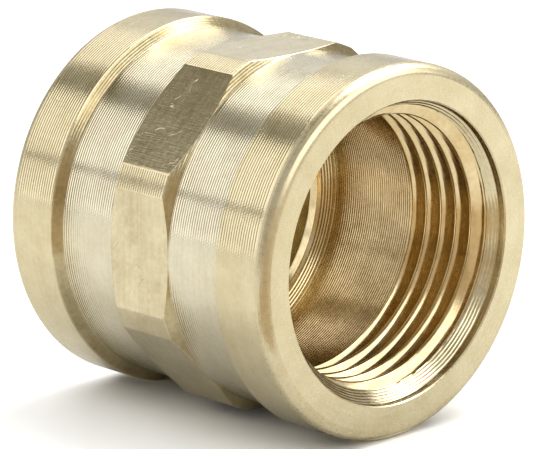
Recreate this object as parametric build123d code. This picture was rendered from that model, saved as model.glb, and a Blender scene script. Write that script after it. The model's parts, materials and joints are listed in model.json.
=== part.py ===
"""Brass threaded coupling with an octagonal wrench band.

The coupling is one turned piece: two round collars, two shallow grooves, an
octagonal band in the middle and a G 3/4 internal thread at each end.

Frame: the bore axis is X, +Z is up, and the origin lies on the bore axis
halfway along the length.  The long socket opens towards +X and the short one
towards -X.  Two of the wrench flats face straight up and straight down.
"""

from build123d import *
from build123d.topology import SkipClean

from math import cos, radians, sin, tan
import os

# Overall size
LENGTH = 32.5
COLLAR_D = 33.8
COLLAR_LENGTH = 5.75
END_ROUND = 1.1

# Octagonal band and the grooves on either side of it
ACROSS_FLATS = 32.0
FLAT_COUNT = 8
BAND_LENGTH = 6.0
GROOVE_D = 31.9
SHOULDER_RUN = 0.65

# G 3/4 thread: 14 threads per inch, 55 degree Whitworth form
PITCH = 25.4 / 14
MAJOR_D = 26.441
MINOR_D = 24.117
FLANK_ANGLE = 27.5
ROOT_ROUND = 0.137329 * PITCH

# Mouth of each socket: a plain counterbore and a 45 degree lead-in
MOUTH_D = 27.2
MOUTH_DEPTH = 0.75
MOUTH_BREAK = 0.12

# Sockets and the stop ring between them
LONG_THREAD_END = 10.2
LONG_SOCKET_DEPTH = 21.2
SHORT_THREAD_END = 8.0
SHORT_SOCKET_DEPTH = 9.9
RELIEF_D = 27.2
STOP_BORE_D = 22.8
STOP_BREAK = 0.25

# Each thread is cut from this depth below its end face out to the mouth
LONG_THREAD_START = 11.425
LONG_THREAD_TURNS = 7
SHORT_THREAD_START = 8.95
SHORT_THREAD_TURNS = 6
CUTTER_OVERLAP = 0.25


def outer_half(side):
    """Outline points of one half of the outside, from the face to the band."""
    end = side * LENGTH / 2
    collar_end = end - side * COLLAR_LENGTH
    groove_start = collar_end - side * SHOULDER_RUN
    band_edge = side * BAND_LENGTH / 2
    groove_end = band_edge + side * SHOULDER_RUN
    return [
        (end - side * END_ROUND, COLLAR_D / 2),
        (collar_end, COLLAR_D / 2),
        (groove_start, GROOVE_D / 2),
        (groove_end, GROOVE_D / 2),
        (band_edge, COLLAR_D / 2),
    ]


def socket_outline(side, thread_end, socket_depth):
    """Outline points of one socket, from the face down to the stop ring."""
    end = side * LENGTH / 2
    mouth_r = MOUTH_D / 2
    minor_r = MINOR_D / 2
    lead_in = mouth_r - minor_r
    stop_r = STOP_BORE_D / 2
    return [
        (end, mouth_r + MOUTH_BREAK),
        (end - side * MOUTH_BREAK, mouth_r),
        (end - side * MOUTH_DEPTH, mouth_r),
        (end - side * (MOUTH_DEPTH + lead_in), minor_r),
        (end - side * thread_end, minor_r),
        (end - side * thread_end, RELIEF_D / 2),
        (end - side * socket_depth, RELIEF_D / 2),
        (end - side * socket_depth, stop_r + STOP_BREAK),
        (end - side * (socket_depth + STOP_BREAK), stop_r),
    ]


def end_round(side):
    """Quarter-circle edge between a collar and its end face."""
    end = side * LENGTH / 2
    centre = (end - side * END_ROUND, COLLAR_D / 2 - END_ROUND)
    half = radians(45)
    middle = (
        centre[0] + side * END_ROUND * cos(half),
        centre[1] + END_ROUND * sin(half),
    )
    return ThreePointArc(
        (centre[0], COLLAR_D / 2),
        middle,
        (end, centre[1]),
    )


def turned_blank():
    """Turned shape with both sockets, before flats and threads.

    It is two half turns joined at the middles of two octagon corners, so no
    thread crest wraps more than half way round the bore.
    """
    long_socket = socket_outline(1, LONG_THREAD_END, LONG_SOCKET_DEPTH)
    short_socket = socket_outline(-1, SHORT_THREAD_END, SHORT_SOCKET_DEPTH)
    face_r = COLLAR_D / 2 - END_ROUND
    outside = Polyline(*outer_half(1), *reversed(outer_half(-1)))
    inside = Polyline(
        (LENGTH / 2, face_r),
        *long_socket,
        *reversed(short_socket),
        (-LENGTH / 2, face_r),
    )
    outline = Wire([*outside.edges(), end_round(1), *inside.edges(), end_round(-1)])
    half_turn = revolve(make_face(outline), Axis.X, 180)
    to_corner = Rot(180 / FLAT_COUNT, 0, 0)
    return to_corner * (half_turn + Rot(180, 0, 0) * half_turn)


def flat_cutter():
    """Ring-shaped waste outside the flats, over the octagonal band only."""
    width = BAND_LENGTH + 2 * SHOULDER_RUN
    section = Circle(COLLAR_D / 2 + 1) - RegularPolygon(
        ACROSS_FLATS / 2, FLAT_COUNT, major_radius=False, rotation=180 / FLAT_COUNT
    )
    ring = extrude(Plane.YZ * section, width / 2, both=True)
    return ring


def thread_turn():
    """One turn of helical groove along +X, right-handed, starting below the axis."""
    major_r = MAJOR_D / 2
    inner_r = MINOR_D / 2 - CUTTER_OVERLAP
    flank = radians(FLANK_ANGLE)
    tangent_r = major_r - ROOT_ROUND * (1 - sin(flank))
    tangent_half = ROOT_ROUND * cos(flank)
    mouth_half = tangent_half + (tangent_r - inner_r) * tan(flank)
    flanks = Polyline(
        (tangent_r, -tangent_half),
        (inner_r, -mouth_half),
        (inner_r, mouth_half),
        (tangent_r, tangent_half),
    )
    root = ThreePointArc(
        (tangent_r, tangent_half), (major_r, 0), (tangent_r, -tangent_half)
    )
    profile = Plane.XZ * make_face(Wire([*flanks.edges(), root]))
    helix = Helix(pitch=PITCH, height=PITCH, radius=MINOR_D / 2)
    groove = sweep(profile, path=helix, is_frenet=True)
    return Rot(0, 90, 0) * groove


def coupling_body():
    """The whole coupling, with each thread cut one turn at a time."""
    body = turned_blank() - flat_cutter()
    turn = thread_turn()
    threads = [
        (Rot(0, 0, 0), LONG_THREAD_START, LONG_THREAD_TURNS),
        (Rot(0, 0, 180), SHORT_THREAD_START, SHORT_THREAD_TURNS),
    ]
    for facing, depth, turns in threads:
        for index in range(turns):
            along = LENGTH / 2 - depth + index * PITCH
            body = body - facing * Pos(along, 0, 0) * turn
    body.label = "coupling_body"
    return body


# Joined faces stay separate, which keeps the thread crests in half turns
with SkipClean():
    PARTS = {"coupling_body": coupling_body()}

os.makedirs("parts", exist_ok=True)
for name, solid in PARTS.items():
    export_step(solid, f"parts/{name}.step")
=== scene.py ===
"""Looks of a turned brass coupling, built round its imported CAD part.

The bore axis is X and +Z is up, as in the part.  The coupling and the place
of the camera are in millimetres, and the rest of the stage is in metres.
Angles round the bore run from +Y towards +Z on the coupling, and from -Y
towards +Z on the stage.
"""

import json
from math import acos, ceil, cos, degrees, pi, radians, sin, tan

import bmesh
import bpy
import numpy as np
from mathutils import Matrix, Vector


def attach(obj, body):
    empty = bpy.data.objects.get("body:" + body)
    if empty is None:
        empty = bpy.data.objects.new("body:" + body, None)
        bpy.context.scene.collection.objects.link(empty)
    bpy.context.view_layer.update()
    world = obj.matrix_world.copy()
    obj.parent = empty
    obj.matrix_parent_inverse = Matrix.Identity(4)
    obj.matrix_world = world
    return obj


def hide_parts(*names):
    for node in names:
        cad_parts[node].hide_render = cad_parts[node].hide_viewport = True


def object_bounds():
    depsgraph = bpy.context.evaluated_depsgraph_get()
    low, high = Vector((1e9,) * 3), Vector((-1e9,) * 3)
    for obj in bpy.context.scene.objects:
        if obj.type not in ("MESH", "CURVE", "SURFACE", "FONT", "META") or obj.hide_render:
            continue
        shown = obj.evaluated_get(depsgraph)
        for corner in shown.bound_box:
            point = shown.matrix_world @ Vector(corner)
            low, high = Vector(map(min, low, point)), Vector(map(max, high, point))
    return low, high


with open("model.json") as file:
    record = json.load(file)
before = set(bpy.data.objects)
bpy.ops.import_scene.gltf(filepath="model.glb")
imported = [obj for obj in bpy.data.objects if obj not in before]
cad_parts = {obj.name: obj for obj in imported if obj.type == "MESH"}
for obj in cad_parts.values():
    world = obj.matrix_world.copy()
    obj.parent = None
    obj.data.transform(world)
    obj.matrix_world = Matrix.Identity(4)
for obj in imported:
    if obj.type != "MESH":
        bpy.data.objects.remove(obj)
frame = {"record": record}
cad_low, cad_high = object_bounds()

MM = 0.001
HALF_LENGTH = cad_high.x / MM
COLLAR_R = min(cad_high.y, cad_high.z) / MM
MOUNTS = {mount["name"]: mount for mount in frame["record"]["mounts"]}
MINOR_R = MOUNTS["long_socket_thread"]["dims"]["r_mm"]

# Outside, as in the part
COLLAR_X = HALF_LENGTH - 5.75
END_ROUND = 1.1
FLAT_R = 16.0
FLAT_COUNT = 8
BAND_HALF = 3.0
GROOVE_R = 15.95
SHOULDER_RUN = 0.65

# Whitworth thread, as in the part
PITCH = 25.4 / 14
MAJOR_R = 13.2205
FLANK = radians(27.5)
THREAD_ROUND = 0.137329 * PITCH
LONG_GROOVE_X = HALF_LENGTH - 11.425 + PITCH / 4
SHORT_GROOVE_X = -(HALF_LENGTH - 8.95) + PITCH / 4

# Sockets, as in the part
MOUTH_R = 13.6
MOUTH_DEPTH = 0.75
MOUTH_BREAK = 0.12
FACE_INNER_R = MOUTH_R + MOUTH_BREAK
LEAD_IN_END = MOUTH_DEPTH + MOUTH_R - MINOR_R
RELIEF_R = 13.6
STOP_R = 11.4
STOP_BREAK = 0.25
LONG_THREAD_END = 10.2
SHORT_THREAD_END = 8.0
STOP_X = HALF_LENGTH - 21.2
FAR_STOP_X = -HALF_LENGTH + 9.9

# Rounded corners and rings that only the visual model has
EDGE_BREAK = 0.07
ROOT_FILLET = 0.14
MOUTH_ROUND = 0.05
RELIEF_ROUND = 0.1
RELIEF_LIP = 0.12
STOP_ROUND = 0.08
FLAT_SOFTNESS = 0.012
STOP_RING_SPACING = 0.37
STOP_RING_DEPTH = 0.09
STOP_RING_FADE = 0.3

# Mesh columns: degrees between them, and the places of more beside each edge
COLUMN_STEP = 0.75
BESIDE_EDGE = (-0.25, -0.08, 0.08, 0.25)

# Steps between mesh rows; ONE_STEP is longer than what it crosses
FINE_STEP = 0.045
SHOULDER_STEP = 0.1
ARC_STEP = 0.12
LIP_STEP = 0.2
FACE_STEP = 0.3
ROW_STEP = 0.4
ONE_STEP = 1.0

# Mesh rows over one rounded root or crest, and over one flank
ROOT_POINTS = 8
FLANK_POINTS = 5

# Points closer than this are one, and an edge that turns more is sharp
WELD_GAP = 0.0005
SHARP_ANGLE = radians(38)

# How close a face lies to a surface to take its finish
HAIR = 0.001
TOUCH = 0.01
ON_LEAD_IN = 0.03
ABOVE_FLAT = 0.02
BELOW_FLAT = 0.03
UNDER_RELIEF = 0.05

# The view the coupling is seen from
CAMERA_PLACE = (308.1, -305.2, 115.4)
CAMERA_AZIMUTH = radians(45.3)
CAMERA_ELEVATION = radians(14.95)
SENSOR_WIDTH = 36.0
CAMERA_LENS = 337.9


# ---------------------------------------------------------------- shape

def column_angles():
    """Angles of the mesh columns, closer together beside the edges of the flats."""
    edge = degrees(acos(FLAT_R / COLLAR_R))
    even = list(np.arange(0, 360, COLUMN_STEP))
    beside = [
        flat * 360 / FLAT_COUNT + side * (edge + offset)
        for flat in range(FLAT_COUNT)
        for side in (-1, 1)
        for offset in BESIDE_EDGE
    ]
    angles = np.unique(np.mod(np.array(even + beside), 360).round(3))
    return np.radians(angles)


def extend_path(path, target, step):
    """Adds evenly spaced points from the end of the path to the target."""
    start = Vector(path[-1])
    count = max(1, ceil((target - start).length / step))
    for index in range(1, count + 1):
        path.append(tuple(start.lerp(target, index / count)))


def rounded_path(points):
    """Points along an outline given as (x, r, corner radius, step to the next)."""
    path = [points[0][:2]]
    for before, here, after in zip(points, points[1:], points[2:]):
        corner = Vector(here[:2])
        back = (Vector(before[:2]) - corner).normalized()
        ahead = (Vector(after[:2]) - corner).normalized()
        radius = here[2]
        if radius == 0:
            extend_path(path, corner, before[3])
            continue
        half = back.angle(ahead) / 2
        reach = radius / tan(half)
        middle = corner + (back + ahead).normalized() * (radius / sin(half))
        start = corner + back * reach
        finish = corner + ahead * reach
        extend_path(path, start, before[3])
        sweep = pi - 2 * half
        count = max(4, ceil(radius * sweep / ARC_STEP))
        from_middle = start - middle
        to_finish = finish - middle
        for index in range(1, count + 1):
            share = index / count
            arm = from_middle * sin((1 - share) * sweep) + to_finish * sin(share * sweep)
            path.append(tuple(middle + arm / sin(sweep)))
    extend_path(path, Vector(points[-1][:2]), points[-2][3])
    return np.array(path)


def thread_radius(offset):
    """Radius of the thread at a distance along the axis from a groove's middle."""
    away = np.abs(offset)
    from_crest = PITCH / 2 - away
    tangent = THREAD_ROUND * cos(FLANK)
    root = MAJOR_R - THREAD_ROUND + np.sqrt(np.clip(THREAD_ROUND**2 - away**2, 0, None))
    crest = MINOR_R + THREAD_ROUND - np.sqrt(np.clip(THREAD_ROUND**2 - from_crest**2, 0, None))
    flank = MAJOR_R - THREAD_ROUND * (1 - sin(FLANK)) - (away - tangent) / tan(FLANK)
    return np.where(away < tangent, root, np.where(from_crest < tangent, crest, flank))


def groove_offset(x, angles, groove_x):
    """Distance along the axis from the nearest groove's middle."""
    turns = (x - groove_x) / PITCH - angles / (2 * pi)
    return (np.mod(turns + 0.5, 1) - 0.5) * PITCH


def thread_stations():
    """Places across one pitch, as shares of it from a groove's middle."""
    tangent = THREAD_ROUND * cos(FLANK)
    sweep = np.linspace(-pi / 2 + FLANK, pi / 2 - FLANK, ROOT_POINTS)
    arc = [THREAD_ROUND * sin(angle) for angle in sweep]
    flank = list(np.linspace(tangent, PITCH / 2 - tangent, FLANK_POINTS)[1:-1])
    crest = [PITCH / 2 + place for place in arc]
    far_flank = [PITCH - place for place in flank]
    return sorted(place / PITCH for place in arc + flank + crest + far_flank)


def plain_rows(path, angles):
    """Rows of a turned stretch, the same all the way round."""
    x = np.repeat(path[:, :1], len(angles), axis=1)
    r = np.repeat(path[:, 1:], len(angles), axis=1)
    return x, r


def mouth_rows(path, angles, groove_x):
    """Rows of a mouth, where the thread runs out through the lead-in."""
    x, r = plain_rows(path, angles)
    return x, np.maximum(r, thread_radius(groove_offset(x, angles, groove_x)))


def from_nearest_flat(angles):
    """Angle from the middle of the nearest flat."""
    step = 2 * pi / FLAT_COUNT
    return np.mod(angles + step / 2, step) - step / 2


def outside_rows(path, angles):
    """Rows of the outside, with the flats cut across the middle band."""
    x, r = plain_rows(path, angles)
    flat = FLAT_R / np.cos(from_nearest_flat(angles))
    on_band = np.abs(x) < BAND_HALF + SHOULDER_RUN
    cut = r - FLAT_SOFTNESS * np.logaddexp(0, (r - flat) / FLAT_SOFTNESS)
    return x, np.where(on_band, cut, r)


def helix_rows(high, low, groove_x, angles):
    """Rows that follow the thread's helix from x = high down to x = low.

    Returns the rows and how many of them make one turn of the thread.  They
    start and end at least a turn outside, and are held at high and low there.
    """
    stations = thread_stations()
    first = ceil((high - groove_x) / PITCH) + 1
    last = ceil((low - groove_x) / PITCH) - 3
    turns = sorted(
        (whole + station for whole in range(last, first + 1) for station in stations),
        reverse=True,
    )
    along = np.array(turns)[:, None] * PITCH + groove_x
    x = np.clip(along + angles * PITCH / (2 * pi), low, high)
    return x, thread_radius(groove_offset(x, angles, groove_x)), len(stations)


def mouth_path():
    """A mouth, from the face down to the end of its lead-in."""
    end = HALF_LENGTH
    return rounded_path([
        (end, FACE_INNER_R, 0, ONE_STEP),
        (end - MOUTH_BREAK, MOUTH_R, MOUTH_ROUND, LIP_STEP),
        (end - MOUTH_DEPTH, MOUTH_R, MOUTH_ROUND, FINE_STEP),
        (end - LEAD_IN_END, MINOR_R, 0, ONE_STEP),
    ])


def relief_path():
    """The plain bore of the long socket, from the thread to the stop face."""
    return rounded_path([
        (HALF_LENGTH - LONG_THREAD_END, RELIEF_R, 0, ROW_STEP),
        (STOP_X, RELIEF_R, RELIEF_ROUND, LIP_STEP),
        (STOP_X, RELIEF_R - RELIEF_LIP, 0, ONE_STEP),
    ])


def stop_face_path():
    """The ringed face at the bottom of the long socket, from the relief inward."""
    inner = STOP_R + STOP_BREAK
    radii = np.arange(RELIEF_R - RELIEF_LIP, inner, -FINE_STEP)
    wave = (1 - np.cos(2 * pi * (RELIEF_R - radii) / STOP_RING_SPACING)) / 2
    fade = np.clip((radii - inner) / STOP_RING_FADE, 0, 1)
    return np.column_stack([STOP_X - STOP_RING_DEPTH * wave * fade, radii])


def stop_ring_path():
    """The bore of the stop ring and the relief of the short socket behind it."""
    return rounded_path([
        (STOP_X, STOP_R + STOP_BREAK, 0, LIP_STEP),
        (STOP_X - STOP_BREAK, STOP_R, STOP_ROUND, LIP_STEP),
        (FAR_STOP_X + STOP_BREAK, STOP_R, STOP_ROUND, LIP_STEP),
        (FAR_STOP_X, STOP_R + STOP_BREAK, STOP_ROUND, FACE_STEP),
        (FAR_STOP_X, RELIEF_R, RELIEF_ROUND, FACE_STEP),
        (-HALF_LENGTH + SHORT_THREAD_END, RELIEF_R, 0, ONE_STEP),
    ])


def outside_path():
    """The outside, from the far face over the band to the near face."""
    half = [
        (BAND_HALF, COLLAR_R, EDGE_BREAK),
        (BAND_HALF + SHOULDER_RUN, GROOVE_R, ROOT_FILLET),
        (COLLAR_X - SHOULDER_RUN, GROOVE_R, ROOT_FILLET),
        (COLLAR_X, COLLAR_R, EDGE_BREAK),
        (HALF_LENGTH, COLLAR_R, END_ROUND),
        (HALF_LENGTH, FACE_INNER_R, 0),
    ]
    steps = [FINE_STEP, ROW_STEP, SHOULDER_STEP, ROW_STEP, FACE_STEP]
    steps_back = steps[::-1] + [FACE_STEP]
    far_half = [
        (-x, r, corner, step) for (x, r, corner), step in zip(half[::-1], steps_back)
    ]
    near_half = [
        (x, r, corner, step) for (x, r, corner), step in zip(half, steps + [ONE_STEP])
    ]
    return rounded_path(far_half + near_half)


def grid_zones(angles):
    """Zones of the closed grid: down the bore, then back along the outside.

    Each zone has its rows' x, their r, and how many rows make one turn of its
    thread, which is 0 where there is none.
    """
    end = HALF_LENGTH
    mouth = mouth_path()
    far_mouth = mouth[::-1] * (-1, 1)
    long_thread = helix_rows(end - LEAD_IN_END, end - LONG_THREAD_END, LONG_GROOVE_X, angles)
    short_thread = helix_rows(-end + SHORT_THREAD_END, -end + LEAD_IN_END, SHORT_GROOVE_X, angles)
    return [
        (*mouth_rows(mouth, angles, LONG_GROOVE_X), 0),
        long_thread,
        (*plain_rows(relief_path(), angles), 0),
        (*plain_rows(stop_face_path(), angles), 0),
        (*plain_rows(stop_ring_path(), angles), 0),
        short_thread,
        (*mouth_rows(far_mouth, angles, SHORT_GROOVE_X), 0),
        (*outside_rows(outside_path(), angles), 0),
    ]


def grid_faces(zones, columns):
    """Four-cornered faces between neighbouring rows, closed both ways round.

    Past the last column a threaded zone joins the row one turn further up, so
    that its rows stay on the helix.
    """
    past_end = []
    for x, _, turn_rows in zones:
        first = len(past_end)
        past_end += [max(first, first + row - turn_rows) for row in range(len(x))]
    rows = len(past_end)
    index = np.arange(rows * columns).reshape(rows, columns)
    wide = np.concatenate([index, index[past_end, :1]], axis=1)
    below = np.roll(wide, -1, axis=0)
    corners = [wide[:, :-1], wide[:, 1:], below[:, 1:], below[:, :-1]]
    return np.stack(corners, axis=-1).reshape(-1, 4)


def finish_of_faces(points, faces):
    """The finish of each face, from where its middle lies."""
    corners = points[faces]
    middle = corners.mean(axis=1)
    x = middle[:, 0]
    across = np.abs(x)
    r = np.hypot(middle[:, 1], middle[:, 2])
    highest_r = np.hypot(corners[:, :, 1], corners[:, :, 2]).max(axis=1)
    flat = FLAT_R / np.cos(from_nearest_flat(np.arctan2(middle[:, 2], middle[:, 1])))
    outside = r > MOUTH_R + MOUTH_BREAK / 2
    finish = np.full(len(faces), "bore", dtype=object)
    finish[outside] = "collar"
    finish[outside & (across < COLLAR_X - EDGE_BREAK)] = "shoulder"
    in_groove = (across < COLLAR_X - SHOULDER_RUN) & (across > BAND_HALF + SHOULDER_RUN)
    finish[outside & in_groove] = "groove"
    finish[outside & (across < BAND_HALF + EDGE_BREAK)] = "corner"
    on_flat = across < BAND_HALF + SHOULDER_RUN - TOUCH
    on_flat &= (highest_r > flat - BELOW_FLAT) & (r < flat + ABOVE_FLAT)
    finish[outside & on_flat] = "flat"
    finish[outside & (across > HALF_LENGTH - END_ROUND)] = "edge"
    finish[outside & (across > HALF_LENGTH - TOUCH)] = "face"
    lead_in_r = MOUTH_R - (HALF_LENGTH - across - MOUTH_DEPTH)
    on_lead_in = (np.abs(r - lead_in_r) < ON_LEAD_IN) & (across > HALF_LENGTH - LEAD_IN_END)
    threaded = (x < HALF_LENGTH - MOUTH_DEPTH) & (x > HALF_LENGTH - LONG_THREAD_END + HAIR)
    threaded |= (x > -HALF_LENGTH + MOUTH_DEPTH) & (x < -HALF_LENGTH + SHORT_THREAD_END - HAIR)
    finish[~outside & threaded & ~on_lead_in] = "thread"
    relief = (x < HALF_LENGTH - LONG_THREAD_END) & (x > STOP_X) & (r > RELIEF_R - UNDER_RELIEF)
    finish[~outside & relief] = "relief"
    stop = (x < STOP_X + TOUCH) & (x > FAR_STOP_X - TOUCH)
    finish[~outside & stop] = "stop"
    return finish


def weld(mesh):
    """Joins the points that fall on each other and turns the faces outward."""
    work = bmesh.new()
    work.from_mesh(mesh)
    bmesh.ops.remove_doubles(work, verts=work.verts, dist=WELD_GAP * MM)
    bmesh.ops.recalc_face_normals(work, faces=work.faces)
    work.to_mesh(mesh)
    work.free()


def build_coupling(finishes):
    """The coupling as one closed mesh, with a material for each finish."""
    angles = column_angles()
    zones = grid_zones(angles)
    x = np.concatenate([zone[0] for zone in zones])
    r = np.concatenate([zone[1] for zone in zones])
    points = np.stack([x, r * np.cos(angles), r * np.sin(angles)], axis=-1).reshape(-1, 3)
    faces = grid_faces(zones, len(angles))
    mesh = bpy.data.meshes.new("coupling")
    mesh.from_pydata((points * MM).tolist(), [], faces.tolist())
    slots = {}
    for name, material in finishes.items():
        slots[name] = len(slots)
        mesh.materials.append(material)
    indices = [slots[name] for name in finish_of_faces(points, faces)]
    mesh.polygons.foreach_set("material_index", indices)
    weld(mesh)
    mesh.polygons.foreach_set("use_smooth", [True] * len(mesh.polygons))
    mesh.set_sharp_from_angle(angle=SHARP_ANGLE)
    coupling = bpy.data.objects.new("coupling", mesh)
    bpy.context.scene.collection.objects.link(coupling)
    return coupling


# ------------------------------------------------------------ materials

# Stretches that turn even noise into rings round the bore, or streaks along it
RING_STRETCH = (3.0, 0.10, 0.10)
STREAK_STRETCH = (0.6, 7.0, 7.0)

# Steps of the faint ladder in one turn
CHATTER_STEPS = 340

# How far the tool marks wander, as a share of their spacing
WANDER = 0.35

# Height of the faint unevenness under the marks
UNEVENNESS = 0.002

# How far from the middle of its noise a nick reaches
NICK_REACH = 0.012


class Graph:
    """Adds and links the nodes of one material."""

    def __init__(self, name):
        self.material = bpy.data.materials.new(name)
        self.material.use_nodes = True
        self.tree = self.material.node_tree
        self.tree.nodes.clear()

    def add(self, kind, inputs, **settings):
        """A new node, with its settings and its input values or links."""
        node = self.tree.nodes.new(kind)
        for key, value in settings.items():
            setattr(node, key, value)
        for key, value in inputs.items():
            if isinstance(value, bpy.types.NodeSocket):
                self.tree.links.new(value, node.inputs[key])
            else:
                node.inputs[key].default_value = value
        return node

    def math(self, operation, *values):
        """The result of a Math node."""
        return self.add("ShaderNodeMath", dict(enumerate(values)), operation=operation).outputs[0]

    def total(self, *shares):
        """The sum of values, each given with the factor it is multiplied by."""
        terms = [self.math("MULTIPLY", value, factor) for value, factor in shares]
        result = terms[0]
        for term in terms[1:]:
            result = self.math("ADD", result, term)
        return result

    def stretched(self, values, factors):
        """A place whose three values are each multiplied by a factor."""
        scaled = [self.math("MULTIPLY", value, factor) for value, factor in zip(values, factors)]
        return self.add("ShaderNodeCombineXYZ", dict(enumerate(scaled))).outputs[0]

    def noise(self, vector, scale, detail=3.0):
        """Noise from 0 to 1 at a place."""
        inputs = {"Vector": vector, "Scale": scale, "Detail": detail, "Roughness": 0.55}
        return self.add("ShaderNodeTexNoise", inputs).outputs[0]

    def blend(self, share, first, second):
        """A colour between two, by a share from 0 to 1."""
        node = self.add("ShaderNodeMix", {}, data_type="RGBA")
        self.tree.links.new(share, node.inputs[0])
        node.inputs[6].default_value = (*first, 1)
        node.inputs[7].default_value = (*second, 1)
        return node.outputs[2]

    def spread(self, value, low, high, to_low, to_high):
        """A value mapped from one range to another, held at its ends."""
        inputs = {
            "Value": value,
            "From Min": low,
            "From Max": high,
            "To Min": to_low,
            "To Max": to_high,
        }
        return self.add("ShaderNodeMapRange", inputs).outputs[0]


def from_axis(graph, y, z):
    """Distance from the bore axis."""
    squares = graph.math("ADD", graph.math("MULTIPLY", y, y), graph.math("MULTIPLY", z, z))
    return graph.math("SQRT", squares)


def tool_marks(graph, mm, along, turns, rings, feed, ridge):
    """Height of the grooves that a cutting tool leaves, one to each feed."""
    drift = graph.math("SUBTRACT", graph.noise(mm, scale=0.5, detail=2.0), 0.5)
    wobble = graph.math("MULTIPLY", drift, WANDER)
    phase = graph.math("ADD", graph.math("ADD", graph.math("DIVIDE", along, feed), turns), wobble)
    across = graph.math("SUBTRACT", graph.math("MULTIPLY", graph.math("FRACT", phase), 2.0), 1.0)
    cusp = graph.math("MULTIPLY", across, across)
    depth = graph.spread(rings, 0.3, 0.7, ridge * 0.85, ridge * 1.15)
    return graph.math("MULTIPLY", cusp, depth)


def chatter_marks(graph, along, turns, feed, chatter):
    """Height of the faint ladder across the tool marks."""
    round_bore = graph.math("MULTIPLY", turns, 2 * pi * CHATTER_STEPS)
    along_bore = graph.math("MULTIPLY", along, pi / feed)
    wave = graph.math("SINE", graph.math("ADD", round_bore, along_bore))
    return graph.math("MULTIPLY", wave, chatter)


def nick_marks(graph, mm, nicks):
    """Height of short curved scratches, which come in patches."""
    swirl = graph.noise(mm, scale=0.55, detail=1.0)
    from_line = graph.math("ABSOLUTE", graph.math("SUBTRACT", swirl, 0.5))
    line = graph.spread(from_line, 0.0, NICK_REACH, 1.0, 0.0)
    patch = graph.spread(graph.noise(mm, scale=0.33, detail=1.0), 0.56, 0.62, 0.0, -nicks)
    return graph.math("MULTIPLY", line, patch)


def brass(name, light, dark, rough, feed=0, ridge=0, chatter=0, radial=False, scratch=0,
          nicks=0, pits=0):
    """Brass with tool marks.

    feed is the spacing of the marks in mm and ridge their height; chatter is
    the height of the faint ladder across them.  radial marks are circles on
    an end face.  scratch, nicks and pits are depths in mm.
    """
    graph = Graph(name)
    place = graph.add("ShaderNodeTexCoord", {}).outputs["Object"]
    scaled = graph.add("ShaderNodeVectorMath", {0: place, "Scale": 1 / MM}, operation="SCALE")
    mm = scaled.outputs[0]
    x, y, z = graph.add("ShaderNodeSeparateXYZ", {0: mm}).outputs
    along = from_axis(graph, y, z) if radial else x
    turns = graph.math("DIVIDE", graph.math("ARCTAN2", z, y), 2 * pi)
    rings = graph.noise(graph.stretched((along, y, z), RING_STRETCH), scale=1.0, detail=4.0)
    cloud = graph.noise(mm, scale=0.35)
    fine = graph.noise(mm, scale=2.4)

    shade = graph.total((rings, 0.25), (cloud, 0.45), (fine, 0.3))
    colour = graph.blend(graph.spread(shade, 0.38, 0.62, 0.0, 1.0), dark, light)
    wear = graph.total((rings, 0.6), (fine, 0.4))
    roughness = graph.spread(wear, 0.35, 0.65, rough * 0.8, rough * 1.25)

    heights = [graph.math("MULTIPLY", graph.noise(mm, scale=1.1, detail=4.0), UNEVENNESS)]
    if feed:
        heights.append(tool_marks(graph, mm, along, turns, rings, feed, ridge))
    if chatter:
        heights.append(chatter_marks(graph, along, turns, feed, chatter))
    if scratch:
        streaks = graph.noise(graph.stretched((x, y, z), STREAK_STRETCH), scale=1.0)
        heights.append(graph.spread(streaks, 0.3, 0.7, 0.0, -scratch))
    if nicks:
        heights.append(nick_marks(graph, mm, nicks))
    if pits:
        cells = graph.add("ShaderNodeTexVoronoi", {"Vector": mm, "Scale": 0.3}).outputs["Distance"]
        heights.append(graph.spread(cells, 0.0, 0.04, -pits, 0.0))
    height = heights[0]
    for more in heights[1:]:
        height = graph.math("ADD", height, more)

    bump = graph.add("ShaderNodeBump", {
        "Height": graph.math("MULTIPLY", height, MM),
        "Strength": 1.0,
        "Distance": 1.0,
    }).outputs[0]
    shader = graph.add("ShaderNodeBsdfPrincipled", {
        "Base Color": colour,
        "Roughness": roughness,
        "Metallic": 1.0,
        "Normal": bump,
    })
    graph.add("ShaderNodeOutputMaterial", {"Surface": shader.outputs[0]})
    return graph.material


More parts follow.
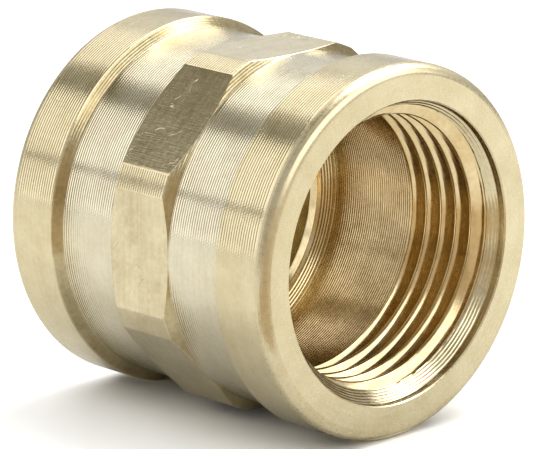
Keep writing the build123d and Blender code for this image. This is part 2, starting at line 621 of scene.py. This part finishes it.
def all_finishes():
    """One brass finish for each kind of surface."""
    return {
        "collar": brass("turned_collar", (0.75, 0.66, 0.43), (0.64, 0.54, 0.33), rough=0.12,
                        feed=0.29, ridge=0.016, chatter=0.0006, nicks=0.003, pits=0.02),
        "groove": brass("turned_groove", (0.77, 0.71, 0.54), (0.66, 0.59, 0.42), rough=0.12,
                        feed=0.28, ridge=0.017, chatter=0.0007, pits=0.015),
        "shoulder": brass("turned_shoulder", (0.62, 0.53, 0.32), (0.40, 0.32, 0.17), rough=0.16,
                          feed=0.14, ridge=0.006),
        "corner": brass("turned_corner", (0.75, 0.66, 0.44), (0.62, 0.52, 0.32), rough=0.13,
                        feed=0.28, ridge=0.014, chatter=0.0006),
        "flat": brass("milled_flat", (0.76, 0.67, 0.45), (0.58, 0.49, 0.30), rough=0.13,
                      scratch=0.0026, nicks=0.018, pits=0.02),
        "edge": brass("polished_edge", (0.74, 0.66, 0.44), (0.62, 0.52, 0.32), rough=0.28,
                      feed=0.22, ridge=0.007),
        "face": brass("brushed_face", (0.77, 0.68, 0.45), (0.66, 0.565, 0.35), rough=0.25,
                      feed=0.19, ridge=0.0028, radial=True, nicks=0.004, pits=0.02),
        "bore": brass("bored_mouth", (0.76, 0.68, 0.46), (0.56, 0.46, 0.27), rough=0.13,
                      feed=0.21, ridge=0.023),
        "thread": brass("cut_thread", (0.84, 0.69, 0.42), (0.66, 0.50, 0.25), rough=0.15,
                        feed=0.12, ridge=0.0016),
        "relief": brass("bored_relief", (0.77, 0.63, 0.38), (0.50, 0.38, 0.20), rough=0.14,
                        feed=0.26, ridge=0.019, chatter=0.001),
        "stop": brass("stop_ring", (0.76, 0.64, 0.39), (0.58, 0.44, 0.22), rough=0.15,
                      feed=0.14, ridge=0.002, radial=True),
    }


def matt_material(name, colour):
    """A faintly mottled matt surface for the floor and the screens."""
    graph = Graph(name)
    place = graph.add("ShaderNodeTexCoord", {}).outputs["Object"]
    lighter = tuple(min(1.0, part * 1.02) for part in colour)
    shader = graph.add("ShaderNodeBsdfPrincipled", {
        "Base Color": graph.blend(graph.noise(place, scale=14.0), colour, lighter),
        "Roughness": 0.9,
    })
    graph.add("ShaderNodeOutputMaterial", {"Surface": shader.outputs[0]})
    return graph.material


# ------------------------------------------------- floor, light, camera

STAGE_REACH = 3.0
SCREEN_TOP = 0.15
SOFTBOX_DISTANCE = 0.75


def panel(name, corners, material):
    """A flat four-cornered piece of the stage."""
    mesh = bpy.data.meshes.new(name)
    mesh.from_pydata([tuple(corner) for corner in corners], [], [(0, 1, 2, 3)])
    mesh.materials.append(material)
    piece = bpy.data.objects.new(name, mesh)
    bpy.context.scene.collection.objects.link(piece)
    return piece


def reflected_panel(name, corners, material):
    """A panel that shows in reflections only, so it hides nothing from any side."""
    piece = panel(name, corners, material)
    piece.visible_camera = False
    piece.visible_diffuse = False
    piece.visible_shadow = False


def around(angle, distance, x):
    """A place at an angle round the bore axis, from -Y towards +Z."""
    turn = radians(angle)
    return Vector((x, -cos(turn) * distance, sin(turn) * distance))


def screen_along_axis(name, low_angle, high_angle, distance, x_low, x_high, material):
    """A screen alongside the bore axis, between two angles round it."""
    places = [(low_angle, x_low), (low_angle, x_high), (high_angle, x_high), (high_angle, x_low)]
    corners = [around(angle, distance, x) for angle, x in places]
    reflected_panel(name, corners, material)


def card_on_floor(name, near, far, left, right, height, material):
    """A sheet just above the floor, placed by distances from the origin.

    near and far are measured towards the camera, left and right across its
    view.
    """
    towards = Vector((sin(CAMERA_AZIMUTH), -cos(CAMERA_AZIMUTH), 0))
    across = Vector((cos(CAMERA_AZIMUTH), sin(CAMERA_AZIMUTH), 0))
    up = Vector((0, 0, height))
    spots = [(near, left), (near, right), (far, right), (far, left)]
    corners = [towards * out + across * aside + up for out, aside in spots]
    reflected_panel(name, corners, material)


def softbox(name, place, target, length, width, radiance):
    """A soft rectangular light at one place, facing another."""
    light = bpy.data.lights.new(name, "AREA")
    light.shape = "RECTANGLE"
    light.size = length
    light.size_y = width
    light.energy = radiance * pi * width * length
    lamp = bpy.data.objects.new(name, light)
    lamp.location = place
    lamp.rotation_mode = "QUATERNION"
    lamp.rotation_quaternion = (place - target).to_track_quat("Z", "Y")
    lamp.visible_camera = False
    bpy.context.scene.collection.objects.link(lamp)
    return lamp


def softbox_along_axis(name, low_angle, high_angle, x_low, x_high, radiance):
    """A softbox alongside the bore axis, between two angles round it."""
    middle = (low_angle + high_angle) / 2
    width = 2 * SOFTBOX_DISTANCE * tan(radians(high_angle - low_angle) / 2)
    x = (x_low + x_high) / 2
    place = around(middle, SOFTBOX_DISTANCE, x)
    softbox(name, place, Vector((x, 0, 0)), x_high - x_low, width, radiance)


def build_screens():
    """The floor, the dark and pale screens that the brass reflects, and a grey copy of the floor
    with painted shade, which only reflections see.
    """
    floor_z = cad_low.z
    reach = STAGE_REACH
    floor = matt_material("floor_paper", (0.97, 0.97, 0.965))
    panel("floor", [
        (-reach, -reach, floor_z),
        (reach, -reach, floor_z),
        (reach, reach, floor_z),
        (-reach, reach, floor_z),
    ], floor)
    dark = matt_material("dark_screen", (0.22, 0.21, 0.17))
    brown = matt_material("brown_card", (0.38, 0.31, 0.22))
    # Painted shade: this grey is about as dark as the floor in shadow, for the sheet that only
    # reflections see
    grey = matt_material("painted_floor_shade_grey", (0.62, 0.62, 0.605))
    screen_along_axis("dark_screen", low_angle=67, high_angle=83, distance=0.55,
                      x_low=-1.6, x_high=0.35, material=dark)
    card_on_floor("mouth_card", near=0.034, far=0.50, left=-0.02, right=0.30,
                  height=floor_z + 0.001, material=brown)
    # Painted shade: a grey copy of the whole floor, seen only in reflections, so the brass
    # reflects a shaded floor while the camera sees a white one
    card_on_floor("painted_floor_shade_sheet", near=-reach, far=reach, left=-reach, right=reach,
                  height=floor_z + 0.0005, material=grey)
    reflected_panel("camera_side_screen", [
        (0.28, -0.55, floor_z),
        (0.62, -0.02, floor_z),
        (0.62, -0.02, SCREEN_TOP),
        (0.28, -0.55, SCREEN_TOP),
    ], brown)


def build_lights():
    """The softboxes round the coupling and the even light of the studio."""
    softbox_along_axis("low_front_softbox", low_angle=-8, high_angle=21,
                       x_low=-0.8, x_high=-0.25, radiance=0.92)
    softbox_along_axis("high_front_softbox", low_angle=25, high_angle=64.5,
                       x_low=-0.8, x_high=-0.25, radiance=1.02)
    softbox_along_axis("top_softbox", low_angle=84, high_angle=118,
                       x_low=-0.8, x_high=-0.25, radiance=1.2)
    softbox_along_axis("rear_softbox", low_angle=122, high_angle=168,
                       x_low=-1.1, x_high=-0.2, radiance=0.36)
    softbox("right_softbox", Vector((0.67, 0.27, 0.36)), Vector((0, 0, 0)),
            length=1.1, width=0.44, radiance=1.7)
    softbox("back_softbox", Vector((0.05, 0.35, 0.50)), Vector((-0.05, 0.2, 0)),
            length=0.5, width=0.5, radiance=4.8)
    beside = Vector((-0.02, -0.02, cad_low.z))
    floor_lamp = softbox("floor_softbox", Vector((-0.25, -0.25, 0.5)), beside,
                         length=0.5, width=0.5, radiance=2.0)
    floor_lamp.visible_glossy = False
    world = bpy.data.worlds.new("studio")
    world.use_nodes = True
    background = world.node_tree.nodes["Background"]
    background.inputs["Color"].default_value = (1.0, 0.99, 0.97, 1)
    background.inputs["Strength"].default_value = 0.56
    bpy.context.scene.world = world
    bpy.context.scene.view_settings.view_transform = "Standard"


def build_camera():
    """The camera, at the angle the coupling is seen from."""
    data = bpy.data.cameras.new("camera")
    data.sensor_width = SENSOR_WIDTH
    data.lens = CAMERA_LENS
    data.clip_start = 0.01
    data.clip_end = 20
    camera = bpy.data.objects.new("camera", data)
    camera.location = Vector(CAMERA_PLACE) * MM
    back = Vector((
        sin(CAMERA_AZIMUTH) * cos(CAMERA_ELEVATION),
        -cos(CAMERA_AZIMUTH) * cos(CAMERA_ELEVATION),
        sin(CAMERA_ELEVATION),
    ))
    camera.rotation_mode = "QUATERNION"
    camera.rotation_quaternion = (-back).to_track_quat("-Z", "Y")
    bpy.context.scene.collection.objects.link(camera)
    bpy.context.scene.camera = camera


coupling = build_coupling(all_finishes())
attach(coupling, "root")
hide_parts("coupling_body")
build_screens()
build_lights()
build_camera()
